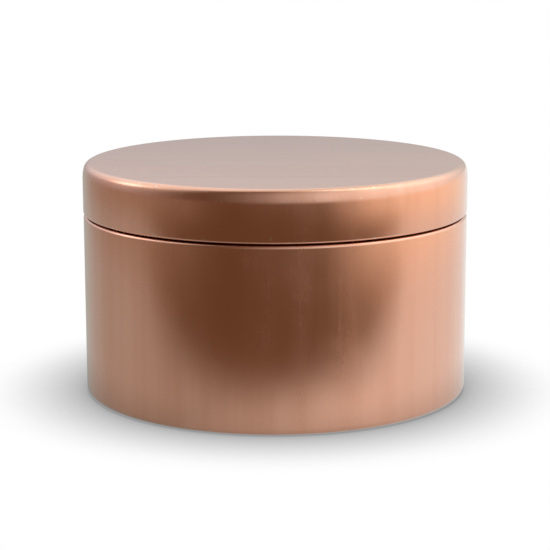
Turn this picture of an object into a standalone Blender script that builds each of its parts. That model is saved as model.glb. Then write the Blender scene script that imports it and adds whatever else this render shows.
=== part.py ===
# A round slip-lid candle tin: a drawn body with a stepped neck, and a lid that sits flush over it.
# Each piece is one sheet, so it is drawn as the centre line of that sheet, given its thickness, and turned.
# Metres, +Z up. The origin is the centre of the foot, on the surface that the tin stands on.

from math import acos, cos, pi, radians, sin, tan

import bmesh
import bpy
from mathutils import Matrix, Vector

# The whole tin
BODY_RADIUS = 0.0385  # outside of the body's wall
CLOSED_HEIGHT = 0.0464  # foot to the top of the lid
SHEET = 0.00028  # tinplate, the same in both pieces

# Lid
LID_PROUD = 0.00005  # how far the lid's wall stands out past the body's
SKIRT_HEIGHT = 0.01005  # top of the lid to the bottom of its curl
RIM_BEND = 0.0014  # outside radius of the crisp bend round the top
RIM_EASE = 0.0060  # outside radius of the soft bend that carries on down to the wall
RIM_LEAN = radians(14)  # how far off the wall the one bend hands over to the other
LID_CURL = 0.0010  # the curled lower edge, across

# How the lid sits on the body
LID_GAP = 0.0003  # the dark line between the lid's curl and the body's shoulder
SIDE_CLEARANCE = 0.00025  # lid's curl to the neck, all round
SEAT_CLEARANCE = 0.0003  # underside of the lid to the mouth's curl

# Body
SHOULDER_CORNER = 0.0006  # outside radius
NECK_BEND = 0.00035  # inside radius where the shoulder turns up into the neck
MOUTH_CURL = 0.0018  # the curled mouth, across
BASE_CORNER = 0.0013  # outside radius
FOOT_WIDTH = 0.0032  # the flat ring that the tin stands on
PANEL_RISE = 0.0011  # how far the middle of the base is pressed up
PANEL_BEND = 0.0004  # both bends beside the foot, at the middle of the sheet

# How finely round shapes are cut
SEGMENTS = 60  # round the axis
BEND_STEP = radians(22.5)
CURL_STEP = radians(30)
CURL_TURN = radians(270)  # the curls stop short of the wall, so they are open inside

ROSE_COPPER = (0.80, 0.42, 0.29, 1.0)


def arc(centre, start, turn, step):
    """Points from start round centre by the angle turn, both ends included."""
    count = max(2, round(abs(turn) / step))
    return [centre + Matrix.Rotation(turn * i / count, 2) @ (start - centre) for i in range(count + 1)]


def bend(before, corner, after, radius):
    """The arc that rounds the corner between two straight runs."""
    back = (before - corner).normalized()
    ahead = (after - corner).normalized()
    half = acos(max(-1.0, min(1.0, back.dot(ahead)))) / 2
    centre = corner + (back + ahead).normalized() * radius / sin(half)
    start = corner + back * radius / tan(half)
    side = 1 if back.x * ahead.y - back.y * ahead.x < 0 else -1
    return arc(centre, start, side * (pi - 2 * half), BEND_STEP)


def bent_line(corners):
    """A centre line through (radius, height, bend) corners. A bend of 0 keeps the point itself."""
    places = [Vector((r, z)) for r, z, _ in corners]
    line = []
    for i, (place, (_, _, radius)) in enumerate(zip(places, corners)):
        if radius:
            line += bend(places[i - 1], place, places[i + 1], radius)
        else:
            line.append(place)
    return line


def curled(line, across, side):
    """The line with its last run curled round, to the left (side 1) or the right (side -1)."""
    radius = (across - SHEET) / 2
    end = line[-1]
    heading = (end - line[-2]).normalized()
    centre = end + Vector((-heading.y, heading.x)) * radius * side
    return line[:-1] + arc(centre, end, side * CURL_TURN, CURL_STEP)


def sheet_section(line):
    """Both faces of the sheet that has this centre line, as one open run of points."""
    headings = [(end - start).normalized() for start, end in zip(line, line[1:])]
    left, right = [], []
    for here, before, after in zip(line, headings[:1] + headings, headings + headings[-1:]):
        along = (before + after).normalized()
        across = Vector((-along.y, along.x)) * SHEET / 2 / along.dot(before)
        left.append(here + across)
        right.append(here - across)
    return left + right[::-1]


def turned(name, section, material):
    """A closed body from a section whose two ends lie on the axis."""
    bm = bmesh.new()
    points = [bm.verts.new((r, 0, z)) for r, z in section]
    runs = [bm.edges.new(pair) for pair in zip(points, points[1:])]
    bmesh.ops.spin(bm, geom=points + runs, axis=(0, 0, 1), angle=2 * pi, steps=SEGMENTS, use_merge=True)
    bmesh.ops.remove_doubles(bm, verts=bm.verts, dist=1e-6)
    bmesh.ops.recalc_face_normals(bm, faces=bm.faces)
    mesh = bpy.data.meshes.new(name)
    bm.to_mesh(mesh)
    bm.free()
    mesh.shade_smooth()
    mesh.set_sharp_from_angle(angle=radians(35))
    mesh.materials.append(material)
    piece = bpy.data.objects.new(name, mesh)
    bpy.context.scene.collection.objects.link(piece)
    return piece


def lacquer(name):
    material = bpy.data.materials.new(name)
    material.use_nodes = True
    shader = material.node_tree.nodes["Principled BSDF"]
    shader.inputs["Base Color"].default_value = ROSE_COPPER
    shader.inputs["Metallic"].default_value = 1.0
    shader.inputs["Roughness"].default_value = 0.35
    return material


def make_body():
    half = SHEET / 2
    wall = BODY_RADIUS - half
    neck = BODY_RADIUS + LID_PROUD - LID_CURL - SIDE_CLEARANCE - half
    ledge = CLOSED_HEIGHT - SKIRT_HEIGHT - LID_GAP - half
    mouth = CLOSED_HEIGHT - SHEET - SEAT_CLEARANCE - MOUTH_CURL / 2
    foot = BODY_RADIUS - BASE_CORNER - FOOT_WIDTH - PANEL_BEND
    line = bent_line(
        [
            (0, PANEL_RISE + half, 0),
            (foot, PANEL_RISE + half, PANEL_BEND),
            (foot, half, PANEL_BEND),
            (wall, half, BASE_CORNER - half),
            (wall, ledge, SHOULDER_CORNER - half),
            (neck, ledge, NECK_BEND + half),
            (neck, mouth, 0),
        ]
    )
    return turned("tin_body", sheet_section(curled(line, MOUTH_CURL, 1)), lacquer("body_lacquer"))


def make_lid():
    """Built with the bottom of its curl at its own z = 0, and set on the body."""
    half = SHEET / 2
    wall = BODY_RADIUS + LID_PROUD - half
    top = SKIRT_HEIGHT - half
    # the run between the rim's two corners holds both bends and a short straight between them
    crisp, soft = RIM_BEND - half, RIM_EASE - half
    run = crisp * tan(pi / 4 - RIM_LEAN / 2) + SHEET + soft * tan(RIM_LEAN / 2)
    line = bent_line(
        [
            (0, top, 0),
            (wall - run * sin(RIM_LEAN), top, crisp),
            (wall, top - run * cos(RIM_LEAN), soft),
            (wall, LID_CURL / 2, 0),
        ]
    )
    lid = turned("lid", sheet_section(curled(line, LID_CURL, -1)), lacquer("lid_lacquer"))
    lid.location.z = CLOSED_HEIGHT - SKIRT_HEIGHT
    return lid


def clear_scene():
    for piece in list(bpy.data.objects):
        bpy.data.objects.remove(piece, do_unlink=True)


clear_scene()
make_body()
make_lid()
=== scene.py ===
from math import acos, cos, pi, radians, sin, tan

import bpy
from mathutils import Matrix, Vector


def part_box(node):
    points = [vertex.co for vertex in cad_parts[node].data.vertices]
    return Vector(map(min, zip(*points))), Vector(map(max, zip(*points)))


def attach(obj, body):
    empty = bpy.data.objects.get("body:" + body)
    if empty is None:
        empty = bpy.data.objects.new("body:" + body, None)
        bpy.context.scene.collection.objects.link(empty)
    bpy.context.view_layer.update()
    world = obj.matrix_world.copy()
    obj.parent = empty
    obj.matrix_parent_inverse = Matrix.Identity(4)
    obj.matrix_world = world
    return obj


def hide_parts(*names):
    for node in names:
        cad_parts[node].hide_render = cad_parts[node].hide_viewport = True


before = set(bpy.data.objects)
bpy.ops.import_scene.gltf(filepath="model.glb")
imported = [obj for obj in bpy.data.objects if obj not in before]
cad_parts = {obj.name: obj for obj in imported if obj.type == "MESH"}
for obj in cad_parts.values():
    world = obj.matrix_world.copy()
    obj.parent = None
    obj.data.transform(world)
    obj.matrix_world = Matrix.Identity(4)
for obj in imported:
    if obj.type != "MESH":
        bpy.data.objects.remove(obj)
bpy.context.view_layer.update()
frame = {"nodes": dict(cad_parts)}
bodyLow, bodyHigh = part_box("tin_body")
lidLow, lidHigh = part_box("lid")
print("frame loaded:", ", ".join(frame["nodes"]))

# each piece is one bent sheet, drawn as its centre line and turned round Z

turning = {
    "segments": 256,  # round the axis
    "bendStep": radians(7.5),
    "curlStep": radians(15),
    "curlTurn": radians(270),
    "sharp": radians(50),
}


def arcPoints(centre, start, turn, step):
    count = max(2, round(abs(turn) / step))
    spoke = start - centre
    return [centre + Matrix.Rotation(turn * i / count, 2) @ spoke for i in range(count + 1)]


def bendPoints(before, corner, after, radius):
    back = (before - corner).normalized()
    ahead = (after - corner).normalized()
    half = acos(back.dot(ahead)) / 2
    centre = corner + (back + ahead).normalized() * radius / sin(half)
    start = corner + back * radius / tan(half)
    side = 1 if back.x * ahead.y - back.y * ahead.x < 0 else -1
    return arcPoints(centre, start, side * (pi - 2 * half), turning["bendStep"])


def bentLine(corners):
    # (radius, height, bend) corners to points, each with how much of an edge it is, 0 to 1
    places = [Vector((r, z)) for r, z, _ in corners]
    points, edge = [], []
    for i, (_, _, radius) in enumerate(corners):
        arc = bendPoints(places[i - 1], places[i], places[i + 1], radius) if radius else [places[i]]
        points += arc
        edge += [sin(pi * k / (len(arc) - 1)) if radius else 0.0 for k in range(len(arc))]
    return points, edge


def addCurl(points, edge, across, sheet, side):
    # curls the last run round, to its left (side 1) or its right (side -1)
    radius = (across - sheet) / 2
    end = points[-1]
    heading = (end - points[-2]).normalized()
    centre = end + Vector((-heading.y, heading.x)) * radius * side
    arc = arcPoints(centre, end, side * turning["curlTurn"], turning["curlStep"])
    return points[:-1] + arc, edge[:-1] + [1.0] * len(arc)


def thicken(points, sheet):
    headings = [(b - a).normalized() for a, b in zip(points, points[1:])]
    left, right = [], []
    for here, before, after in zip(points, headings[:1] + headings, headings + headings[-1:]):
        along = (before + after).normalized()
        across = Vector((-along.y, along.x)) * sheet / 2 / along.dot(before)
        left.append(here + across)
        right.append(here - across)
    return left, right


def turnSheet(name, points, edge, sheet, finishes):
    # finishes are for the sheet's left face, its cut end and its right face
    left, right = thicken(points, sheet)
    section = left + right[::-1]
    edges = edge + edge[::-1]
    walls = [abs((b - a).normalized().y) for a, b in zip(points, points[1:])]
    walls = [walls[0]] + [(a + b) / 2 for a, b in zip(walls, walls[1:])] + [walls[-1]]
    walls = walls + walls[::-1]
    count = turning["segments"]
    verts, rings, edgeValues, wallValues = [], [], [], []
    for place, edgeHere, wallHere in zip(section, edges, walls):
        onAxis = place.x < 1e-7
        turns = [0.0] if onAxis else [2 * pi * j / count for j in range(count)]
        rings.append([len(verts) + j for j in range(len(turns))] * (count if onAxis else 1))
        verts += [(place.x * cos(t), place.x * sin(t), place.y) for t in turns]
        edgeValues += [edgeHere] * len(turns)
        wallValues += [wallHere] * len(turns)
    faces, finishOf = [], []
    for i, (ring, nextRing) in enumerate(zip(rings, rings[1:])):
        finish = 0 if i < len(left) - 1 else 1 if i == len(left) - 1 else 2
        for j in range(count):
            k = (j + 1) % count
            corners = [ring[j], ring[k], nextRing[k], nextRing[j]]
            faces.append(list(dict.fromkeys(corners)))
            finishOf.append(finish)
    mesh = bpy.data.meshes.new(name)
    mesh.from_pydata(verts, [], faces)
    for finish in finishes:
        mesh.materials.append(finish)
    mesh.polygons.foreach_set("material_index", finishOf)
    for label, values in (("edge", edgeValues), ("wall", wallValues)):
        mesh.attributes.new(label, "FLOAT", "POINT").data.foreach_set("value", values)
    mesh.shade_smooth()
    mesh.set_sharp_from_angle(angle=turning["sharp"])
    piece = bpy.data.objects.new(name, mesh)
    bpy.context.scene.collection.objects.link(piece)
    return piece


def newGroup(name, inputs, outputs):
    # inputs are (name, socket type, value); outputs are (name, socket type)
    tree = bpy.data.node_groups.new(name, "ShaderNodeTree")
    for label, kind, value in inputs:
        socket = tree.interface.new_socket(name=label, in_out="INPUT", socket_type=kind)
        if value is not None:
            socket.default_value = value
    for label, kind in outputs:
        tree.interface.new_socket(name=label, in_out="OUTPUT", socket_type=kind)
    return tree, tree.nodes.new("NodeGroupInput").outputs, tree.nodes.new("NodeGroupOutput").inputs


def feed(tree, socket, value):
    if isinstance(value, bpy.types.NodeSocket):
        tree.links.new(value, socket)
    else:
        socket.default_value = value


def maths(tree, operation, *values):
    node = tree.nodes.new("ShaderNodeMath")
    node.operation = operation
    for socket, value in zip(node.inputs, values):
        feed(tree, socket, value)
    return node.outputs[0]


def noise(tree, vector, scale, detail, roughness=0.5):
    node = tree.nodes.new("ShaderNodeTexNoise")
    feed(tree, node.inputs["Vector"], vector)
    feed(tree, node.inputs["Scale"], scale)
    feed(tree, node.inputs["Detail"], detail)
    feed(tree, node.inputs["Roughness"], roughness)
    return node.outputs["Fac"]


def remap(tree, value, fromMin, fromMax, toMin=0.0, toMax=1.0, smooth=False):
    node = tree.nodes.new("ShaderNodeMapRange")
    node.interpolation_type = "SMOOTHSTEP" if smooth else "LINEAR"
    for label, number in (
        ("Value", value), ("From Min", fromMin), ("From Max", fromMax), ("To Min", toMin), ("To Max", toMax)
    ):
        feed(tree, node.inputs[label], number)
    return node.outputs["Result"]


def mixColours(tree, factor, a, b):
    node = tree.nodes.new("ShaderNodeMix")
    node.data_type = "RGBA"
    feed(tree, node.inputs["Factor"], factor)
    feed(tree, node.inputs["A"], a)
    feed(tree, node.inputs["B"], b)
    return node.outputs["Result"]


def addGroup(tree, group, values):
    node = tree.nodes.new("ShaderNodeGroup")
    node.node_tree = group
    for label, value in values.items():
        feed(tree, node.inputs[label], value)
    return node


drawMarks = {
    "streaksPerMetre": 160.0,  # the broad faint ones; how fine the lines are is set by each piece
    "stretch": 40.0,  # how many times longer than wide
    "detail": 3.0,
    "raggedness": 0.6,
}


def makeDrawLines():
    # lines that the press leaves: up a wall, and all one way across a flat
    tree, given, out = newGroup(
        "drawLines",
        [
            ("Position", "NodeSocketVector", None),
            ("Wall", "NodeSocketFloat", 0.0),
            ("Lines per metre", "NodeSocketFloat", 2000.0),
            ("Streaks per metre", "NodeSocketFloat", drawMarks["streaksPerMetre"]),
            ("Stretch", "NodeSocketFloat", drawMarks["stretch"]),
        ],
        [("Lines", "NodeSocketFloat"), ("Streaks", "NodeSocketFloat")],
    )
    parts = tree.nodes.new("ShaderNodeSeparateXYZ")
    feed(tree, parts.inputs[0], given["Position"])
    x, y, z = parts.outputs
    wallPlace = tree.nodes.new("ShaderNodeCombineXYZ")
    feed(tree, wallPlace.inputs[0], x)
    feed(tree, wallPlace.inputs[1], y)
    feed(tree, wallPlace.inputs[2], maths(tree, "DIVIDE", z, given["Stretch"]))
    flatPlace = tree.nodes.new("ShaderNodeCombineXYZ")
    feed(tree, flatPlace.inputs[0], maths(tree, "DIVIDE", x, given["Stretch"]))
    feed(tree, flatPlace.inputs[1], y)
    feed(tree, flatPlace.inputs[2], z)
    for label, scale in (("Lines", given["Lines per metre"]), ("Streaks", given["Streaks per metre"])):
        mix = tree.nodes.new("ShaderNodeMix")
        feed(tree, mix.inputs["Factor"], given["Wall"])
        for side, place in (("A", flatPlace), ("B", wallPlace)):
            marks = noise(tree, place.outputs[0], scale, drawMarks["detail"], drawMarks["raggedness"])
            feed(tree, mix.inputs[side], marks)
        feed(tree, out[label], mix.outputs["Result"])
    return tree


grainMarks = {
    "flakesPerMetre": 5000.0,
    "flakeDetail": 2.0,
    "peelPerMetre": 600.0,
    "peelDetail": 1.0,
    "cloudsPerMetre": 40.0,
    "cloudDetail": 3.0,
}


def makeGrain():
    # the fine sparkle of metal flake, the lacquer's slight orange peel, and clouds of denser flake
    tree, given, out = newGroup(
        "lacquerGrain",
        [
            ("Position", "NodeSocketVector", None),
            ("Flakes per metre", "NodeSocketFloat", grainMarks["flakesPerMetre"]),
            ("Peel per metre", "NodeSocketFloat", grainMarks["peelPerMetre"]),
            ("Clouds per metre", "NodeSocketFloat", grainMarks["cloudsPerMetre"]),
        ],
        [("Flake", "NodeSocketFloat"), ("Peel", "NodeSocketFloat"), ("Cloud", "NodeSocketFloat")],
    )
    for label, scale, detail in (
        ("Flake", "Flakes per metre", "flakeDetail"),
        ("Peel", "Peel per metre", "peelDetail"),
        ("Cloud", "Clouds per metre", "cloudDetail"),
    ):
        feed(tree, out[label], noise(tree, given["Position"], given[scale], grainMarks[detail]))
    return tree


handlingMarks = {
    "spotsPerMetre": 900.0,
    "spotDetail": 4.0,
    "spotRaggedness": 0.65,
    "rubbedFrom": 0.78,
    "rubbedTo": 0.9,
    "smearsPerMetre": 55.0,
    "smearDetail": 5.0,
    "smearRaggedness": 0.6,
    "smearFrom": 0.52,
    "smearTo": 0.72,
}


def makeHandling():
    # rubbed edges, and faint smears from being handled
    tree, given, out = newGroup(
        "handling",
        [
            ("Position", "NodeSocketVector", None),
            ("Edge", "NodeSocketFloat", 0.0),
            ("Wear", "NodeSocketFloat", 0.0),
            ("Spots per metre", "NodeSocketFloat", handlingMarks["spotsPerMetre"]),
            ("Smears per metre", "NodeSocketFloat", handlingMarks["smearsPerMetre"]),
        ],
        [("Rubbed", "NodeSocketFloat"), ("Smear", "NodeSocketFloat")],
    )
    marks = handlingMarks
    place = given["Position"]
    spots = noise(tree, place, given["Spots per metre"], marks["spotDetail"], marks["spotRaggedness"])
    reach = maths(tree, "MULTIPLY", given["Edge"], given["Wear"])
    rubbed = remap(tree, maths(tree, "ADD", spots, reach), marks["rubbedFrom"], marks["rubbedTo"])
    feed(tree, out["Rubbed"], rubbed)
    smears = noise(tree, place, given["Smears per metre"], marks["smearDetail"], marks["smearRaggedness"])
    feed(tree, out["Smear"], remap(tree, smears, marks["smearFrom"], marks["smearTo"]))
    return tree


drawLines = makeDrawLines()
lacquerGrain = makeGrain()
handling = makeHandling()


def startMaterial(name):
    material = bpy.data.materials.new(name)
    material.use_nodes = True
    tree = material.node_tree
    position = tree.nodes.new("ShaderNodeTexCoord").outputs["Object"]
    masks = {}
    for label in ("edge", "wall"):
        node = tree.nodes.new("ShaderNodeAttribute")
        node.attribute_name = label
        masks[label] = node.outputs["Fac"]
    return material, tree, tree.nodes["Principled BSDF"], position, masks


def bump(tree, height):
    # height is in metres
    node = tree.nodes.new("ShaderNodeBump")
    node.inputs["Strength"].default_value = 1.0
    node.inputs["Distance"].default_value = 1.0
    feed(tree, node.inputs["Height"], height)
    return node.outputs["Normal"]


roseCopper = {
    "colour": (0.80, 0.40, 0.27, 1.0),
    "pale": (0.82, 0.44, 0.31, 1.0),  # where the flake is dense
    "paleFrom": 0.15,
    "paleTo": 0.35,
    "deep": (0.66, 0.28, 0.165, 1.0),  # in the broad streaks
    "streak": 0.35,  # how much of the deep colour they take
    "streakFrom": 0.4,
    "streakTo": 0.65,
    "worn": (0.78, 0.70, 0.64, 1.0),
    "roughness": 0.20,
    "lineRoughness": 0.05,
    "smearRoughness": 0.05,
    "streakRoughness": 0.06,
    "coat": 1.0,
    "coatRoughness": 0.04,
    "lineDepth": 0.0000010,
    "peelDepth": 0.000003,
    "wear": 0.18,
}


def makeLacquer(name, linesPerMetre):
    material, tree, shader, position, masks = startMaterial(name)
    lines = addGroup(tree, drawLines, {
        "Position": position, "Wall": masks["wall"], "Lines per metre": linesPerMetre,
    })
    grain = addGroup(tree, lacquerGrain, {"Position": position})
    rub = addGroup(tree, handling, {
        "Position": position, "Edge": masks["edge"], "Wear": roseCopper["wear"],
    })
    tone = maths(tree, "MULTIPLY", grain.outputs["Cloud"], grain.outputs["Flake"])
    tone = remap(tree, tone, roseCopper["paleFrom"], roseCopper["paleTo"])
    colour = mixColours(tree, tone, roseCopper["colour"], roseCopper["pale"])
    streak = remap(tree, lines.outputs["Streaks"], roseCopper["streakFrom"], roseCopper["streakTo"])
    share = maths(tree, "MULTIPLY", streak, roseCopper["streak"])
    colour = mixColours(tree, share, colour, roseCopper["deep"])
    colour = mixColours(tree, rub.outputs["Rubbed"], colour, roseCopper["worn"])
    feed(tree, shader.inputs["Base Color"], colour)
    shader.inputs["Metallic"].default_value = 1.0
    rough = roseCopper["roughness"]
    for marks, amount in (
        (lines.outputs["Lines"], "lineRoughness"),
        (rub.outputs["Smear"], "smearRoughness"),
        (streak, "streakRoughness"),
    ):
        rough = maths(tree, "MULTIPLY_ADD", marks, roseCopper[amount], rough)
    feed(tree, shader.inputs["Roughness"], rough)
    shader.inputs["Coat Weight"].default_value = roseCopper["coat"]
    shader.inputs["Coat Roughness"].default_value = roseCopper["coatRoughness"]
    height = maths(tree, "MULTIPLY", lines.outputs["Lines"], roseCopper["lineDepth"])
    height = maths(tree, "MULTIPLY_ADD", grain.outputs["Peel"], roseCopper["peelDepth"], height)
    feed(tree, shader.inputs["Normal"], bump(tree, height))
    return material


tinplate = {
    "colour": (0.66, 0.65, 0.62, 1.0),
    "dull": (0.55, 0.54, 0.51, 1.0),
    "roughness": 0.30,
    "lineRoughness": 0.12,
    "lineDepth": 0.000002,
    "linesPerMetre": 3000.0,
}


def makeTinplate(name):
    material, tree, shader, position, masks = startMaterial(name)
    lines = addGroup(tree, drawLines, {
        "Position": position, "Wall": masks["wall"], "Lines per metre": tinplate["linesPerMetre"],
    })
    rub = addGroup(tree, handling, {"Position": position})
    colour = mixColours(tree, rub.outputs["Smear"], tinplate["colour"], tinplate["dull"])
    feed(tree, shader.inputs["Base Color"], colour)
    shader.inputs["Metallic"].default_value = 1.0
    marks = lines.outputs["Lines"]
    rough = maths(tree, "MULTIPLY_ADD", marks, tinplate["lineRoughness"], tinplate["roughness"])
    feed(tree, shader.inputs["Roughness"], rough)
    height = maths(tree, "MULTIPLY", marks, tinplate["lineDepth"])
    feed(tree, shader.inputs["Normal"], bump(tree, height))
    return material


insideFinish = makeTinplate("plainTinplate")
cutFinish = makeTinplate("cutEdge")
print("finishes made")

tinBody = {
    "sheet": 0.00028,
    "baseCorner": 0.0013,  # outside radius
    "footWidth": 0.0032,  # flat ring that it stands on
    "panelRise": 0.0011,  # middle of the base, pressed up
    "panelBend": 0.0004,
    "shoulderCorner": 0.0006,  # outside radius
    "neckBend": 0.00035,  # inside radius
    "mouthCurl": 0.0018,  # across
    "linesPerMetre": 2300.0,
}

lidShape = {
    "sheet": 0.00028,
    "rimBend": 0.0014,  # the crisp bend round the top, outside radius
    "rimEase": 0.0060,  # the soft bend that carries on down to the wall, outside radius
    "rimLean": radians(14),  # how far off the wall the one hands over to the other
    "curl": 0.0010,  # across
    "gap": 0.00030,  # curl to the body's shoulder
    "sideClearance": 0.00025,  # curl to the neck
    "linesPerMetre": 2100.0,
}


def makeBody():
    half = tinBody["sheet"] / 2
    wall = bodyHigh.x - half
    neck = lidHigh.x - lidShape["curl"] - lidShape["sideClearance"] - half
    ledge = lidLow.z - lidShape["gap"] - half
    foot = bodyHigh.x - tinBody["baseCorner"] - tinBody["footWidth"] - tinBody["panelBend"]
    points, edge = bentLine([
        (0, tinBody["panelRise"] + half, 0),
        (foot, tinBody["panelRise"] + half, tinBody["panelBend"]),
        (foot, half, tinBody["panelBend"]),
        (wall, half, tinBody["baseCorner"] - half),
        (wall, ledge, tinBody["shoulderCorner"] - half),
        (neck, ledge, tinBody["neckBend"] + half),
        (neck, bodyHigh.z - tinBody["mouthCurl"] / 2, 0),
    ])
    points, edge = addCurl(points, edge, tinBody["mouthCurl"], tinBody["sheet"], 1)
    finishes = [insideFinish, cutFinish, makeLacquer("bodyLacquer", tinBody["linesPerMetre"])]
    piece = turnSheet("tinBody", points, edge, tinBody["sheet"], finishes)
    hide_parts("tin_body")
    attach(piece, "tin")
    print("body made")


def makeLid():
    half = lidShape["sheet"] / 2
    wall = lidHigh.x - half
    top = lidHigh.z - half
    crisp, soft = lidShape["rimBend"] - half, lidShape["rimEase"] - half
    lean = lidShape["rimLean"]
    # between the rim's two corners: both bends, and a short straight that keeps them apart
    run = crisp * tan(pi / 4 - lean / 2) + lidShape["sheet"] + soft * tan(lean / 2)
    points, edge = bentLine([
        (0, top, 0),
        (wall - run * sin(lean), top, crisp),
        (wall, top - run * cos(lean), soft),
        (wall, lidLow.z + lidShape["curl"] / 2, 0),
    ])
    points, edge = addCurl(points, edge, lidShape["curl"], lidShape["sheet"], -1)
    finishes = [makeLacquer("lidLacquer", lidShape["linesPerMetre"]), cutFinish, insideFinish]
    piece = turnSheet("tinLid", points, edge, lidShape["sheet"], finishes)
    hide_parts("lid")
    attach(piece, "lid")
    print("lid made")


makeBody()
makeLid()

black = (0.0, 0.0, 0.0, 1.0)
white = (1.0, 1.0, 1.0, 1.0)

floorPaper = {
    "reach": 4.0,
    "drop": 0.00002,  # so that the foot and the floor don't share one height
    # the soft shadow where the tin stands, by how open the floor is to the room there
    "shadowReach": 0.024,
    "shadowSamples": 16,
    "shadowDark": 0.45,
    "shadowLight": 0.967,
    "shadowTone": 0.306,
    "contactTone": 0.6,  # the same shadow as the tin's sides mirror it
    # what the tin's sides mirror: pale paper to the left and right with painted light on it, darker on the
    # left and brighter on the right, which ends in front of the tin in painted shade
    "left": (0.465, 0.465, 0.43, 1.0),
    "right": (0.877, 0.873, 0.844, 1.0),
    "sideBlend": 0.023,
    "end": -0.065,
    "endFade": 0.025,
    # painted shade where the paper ends in front of the tin
    "shadedBeyond": (0.141, 0.079, 0.039, 1.0),
    # and the room far off to either side, a painted reflection of light: dim on the left, glowing bright on
    # the right
    "roomGlowLeft": (0.36, 0.28, 0.22, 1.0),
    "roomGlowRight": (1.20, 1.02, 0.80, 1.0),
    "roomStart": 0.15,
    "roomFull": 0.33,
    "acrossStart": 0.4,  # 1 is straight to the side, 0 is straight ahead
    "acrossFull": 1.0,
}


def makeFloor():
    mesh = bpy.data.meshes.new("floor")
    reach = floorPaper["reach"]
    height = -floorPaper["drop"]
    corners = [(x * reach, y * reach, height) for x, y in ((-1, -1), (1, -1), (1, 1), (-1, 1))]
    mesh.from_pydata(corners, [], [(0, 1, 2, 3)])
    floor = bpy.data.objects.new("floor", mesh)
    bpy.context.scene.collection.objects.link(floor)
    material = bpy.data.materials.new("floorPaper")
    material.use_nodes = True
    tree = material.node_tree
    tree.nodes.clear()

    # what the camera sees: white paper with a soft shadow round the foot
    openness = tree.nodes.new("ShaderNodeAmbientOcclusion")
    openness.samples = floorPaper["shadowSamples"]
    openness.inputs["Distance"].default_value = floorPaper["shadowReach"]
    shades = []
    for tone in ("shadowTone", "contactTone"):
        shades.append(remap(
            tree, openness.outputs["AO"], floorPaper["shadowDark"], floorPaper["shadowLight"],
            floorPaper[tone], 1.0,
        ))
    seen = tree.nodes.new("ShaderNodeEmission")
    feed(tree, seen.inputs["Color"], mixColours(tree, shades[0], black, white))

    # what the tin mirrors: the floor glows for every ray but the camera's, with painted light on the paper,
    # painted shade beyond it, the painted shadow round the foot and a painted reflection of the room
    parts = tree.nodes.new("ShaderNodeSeparateXYZ")
    feed(tree, parts.inputs[0], tree.nodes.new("ShaderNodeTexCoord").outputs["Object"])
    x, y, _ = parts.outputs
    side = remap(tree, x, -floorPaper["sideBlend"], floorPaper["sideBlend"])
    # painted light on the paper: darker to the left, brighter to the right
    litPaper = mixColours(tree, side, floorPaper["left"], floorPaper["right"])
    end, fade = floorPaper["end"], floorPaper["endFade"]
    # the paper gives way to painted shade in front of the tin
    ground = mixColours(
        tree, remap(tree, y, end - fade, end + fade, smooth=True), floorPaper["shadedBeyond"], litPaper
    )
    ground = mixColours(tree, shades[1], black, ground)
    squares = [maths(tree, "MULTIPLY", part, part) for part in (x, y)]
    away = maths(tree, "SQRT", maths(tree, "ADD", *squares))
    across = maths(tree, "DIVIDE", maths(tree, "ABSOLUTE", x), away)
    far = maths(
        tree, "MULTIPLY",
        remap(tree, away, floorPaper["roomStart"], floorPaper["roomFull"], smooth=True),
        remap(tree, across, floorPaper["acrossStart"], floorPaper["acrossFull"], smooth=True),
    )
    # painted reflection of the room's light: dim on the left, glowing on the right
    onRight = maths(tree, "GREATER_THAN", x, 0.0)
    roomGlow = mixColours(tree, onRight, floorPaper["roomGlowLeft"], floorPaper["roomGlowRight"])
    mirrored = tree.nodes.new("ShaderNodeEmission")
    feed(tree, mirrored.inputs["Color"], mixColours(tree, far, ground, roomGlow))

    # from below the floor is clear, so that the tin's underside shows
    under = tree.nodes.new("ShaderNodeMixShader")
    feed(tree, under.inputs[0], tree.nodes.new("ShaderNodeNewGeometry").outputs["Backfacing"])
    tree.links.new(seen.outputs[0], under.inputs[1])
    tree.links.new(tree.nodes.new("ShaderNodeBsdfTransparent").outputs[0], under.inputs[2])
    mix = tree.nodes.new("ShaderNodeMixShader")
    feed(tree, mix.inputs[0], tree.nodes.new("ShaderNodeLightPath").outputs["Is Camera Ray"])
    tree.links.new(mirrored.outputs[0], mix.inputs[1])
    tree.links.new(under.outputs[0], mix.inputs[2])
    tree.links.new(mix.outputs[0], tree.nodes.new("ShaderNodeOutputMaterial").inputs[0])
    mesh.materials.append(material)


def makeSoftbox():
    # how much of a soft-edged box of light a direction meets, 0 to 1
    labels = ("Azimuth", "Elevation", "Box azimuth", "Box elevation", "Width", "Height", "Edge")
    tree, given, out = newGroup(
        "softbox", [(label, "NodeSocketFloat", 0.0) for label in labels], [("Share", "NodeSocketFloat")]
    )
    edge = maths(tree, "MULTIPLY", given["Edge"], 0.5)
    shares = []
    for angle, centre, size in (
        ("Azimuth", "Box azimuth", "Width"), ("Elevation", "Box elevation", "Height")
    ):
        off = maths(tree, "SUBTRACT", given[angle], given[centre])
        off = maths(tree, "ABSOLUTE", maths(tree, "WRAP", off, 180.0, -180.0))
        half = maths(tree, "MULTIPLY", given[size], 0.5)
        outer = maths(tree, "ADD", half, edge)
        inner = maths(tree, "SUBTRACT", half, edge)
        shares.append(remap(tree, off, outer, inner, smooth=True))
    feed(tree, out["Share"], maths(tree, "MULTIPLY", *shares))
    return tree


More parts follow.
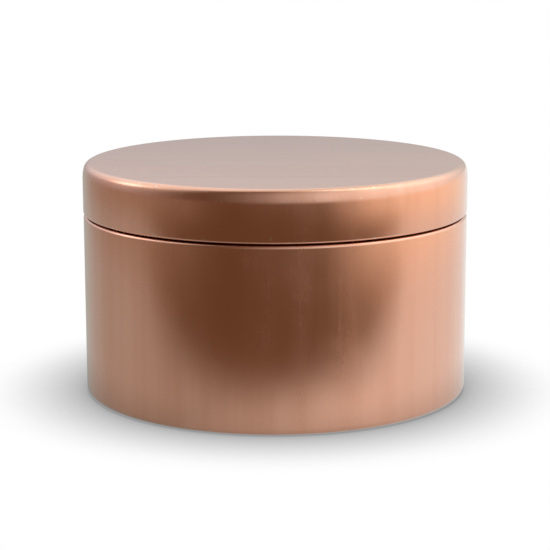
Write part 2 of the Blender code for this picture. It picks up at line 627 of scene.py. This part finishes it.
studio = {
    # azimuth is 0 towards the camera and 90 to the right, elevation is above the floor, all in degrees
    "softboxes": [
        {
            "azimuth": 84, "elevation": 15, "width": 139, "height": 108, "edge": 110,
            "colour": (1.12, 1.22, 1.24),  # broad one on the right
        },
        {
            "azimuth": -128, "elevation": 40, "width": 101, "height": 88, "edge": 57,
            "colour": (0.52, 0.545, 0.615),  # the one on the left, behind
        },
        {
            "azimuth": 180, "elevation": 60, "width": 230, "height": 75, "edge": 40,
            "colour": (0.52, 0.62, 0.6),  # high behind
        },
        {
            "azimuth": -105, "elevation": 28, "width": 22, "height": 22, "edge": 13,
            "colour": (1.4, 1.4, 1.3),  # small one low on the left, for the rim
        },
        {
            "azimuth": 92, "elevation": 62, "width": 40, "height": 26, "edge": 14,
            "colour": (0.9, 0.9, 0.8),  # small one high on the right, for the rim
        },
    ],
    "ambient": (0.14, 0.085, 0.055, 1.0),
}


def makeLight():
    world = bpy.data.worlds.new("studio")
    bpy.context.scene.world = world
    world.use_nodes = True
    tree = world.node_tree
    tree.nodes.clear()
    parts = tree.nodes.new("ShaderNodeSeparateXYZ")
    feed(tree, parts.inputs[0], tree.nodes.new("ShaderNodeTexCoord").outputs["Generated"])
    x, y, z = parts.outputs
    azimuth = maths(tree, "DEGREES", maths(tree, "ARCTAN2", x, maths(tree, "MULTIPLY", y, -1.0)))
    elevation = maths(tree, "DEGREES", maths(tree, "ARCSINE", z))
    group = makeSoftbox()
    light = studio["ambient"]
    for box in studio["softboxes"]:
        share = addGroup(tree, group, {
            "Azimuth": azimuth, "Elevation": elevation,
            "Box azimuth": box["azimuth"], "Box elevation": box["elevation"],
            "Width": box["width"], "Height": box["height"], "Edge": box["edge"],
        }).outputs["Share"]
        node = tree.nodes.new("ShaderNodeMix")
        node.data_type = "RGBA"
        node.blend_type = "ADD"
        feed(tree, node.inputs["Factor"], share)
        feed(tree, node.inputs["A"], light)
        feed(tree, node.inputs["B"], (*box["colour"], 1.0))
        light = node.outputs["Result"]
    # the camera sees plain white behind the tin
    path = tree.nodes.new("ShaderNodeLightPath")
    sky = tree.nodes.new("ShaderNodeBackground")
    feed(tree, sky.inputs["Color"], mixColours(tree, path.outputs["Is Camera Ray"], light, white))
    tree.links.new(sky.outputs[0], tree.nodes.new("ShaderNodeOutputWorld").inputs[0])


view = {
    "distance": 0.391,
    "elevation": radians(11.5),
    "aim": 0.0239,  # height looked at
    "lens": 126.0,
    "shiftX": -0.0006,
    "shiftY": -0.0099,
    "roll": radians(-0.146),
}


def makeCamera():
    data = bpy.data.cameras.new("camera")
    camera = bpy.data.objects.new("camera", data)
    bpy.context.scene.collection.objects.link(camera)
    back = Vector((0, -cos(view["elevation"]), sin(view["elevation"])))
    camera.location = Vector((0, 0, view["aim"])) + back * view["distance"]
    turn = (-back).to_track_quat("-Z", "Y").to_matrix() @ Matrix.Rotation(view["roll"], 3, "Z")
    camera.rotation_euler = turn.to_euler()
    data.lens = view["lens"]
    data.shift_x = view["shiftX"]
    data.shift_y = view["shiftY"]
    data.clip_start = 0.01
    bpy.context.scene.camera = camera


makeFloor()
makeLight()
makeCamera()
bpy.context.scene.view_settings.view_transform = "Standard"
print("studio made")
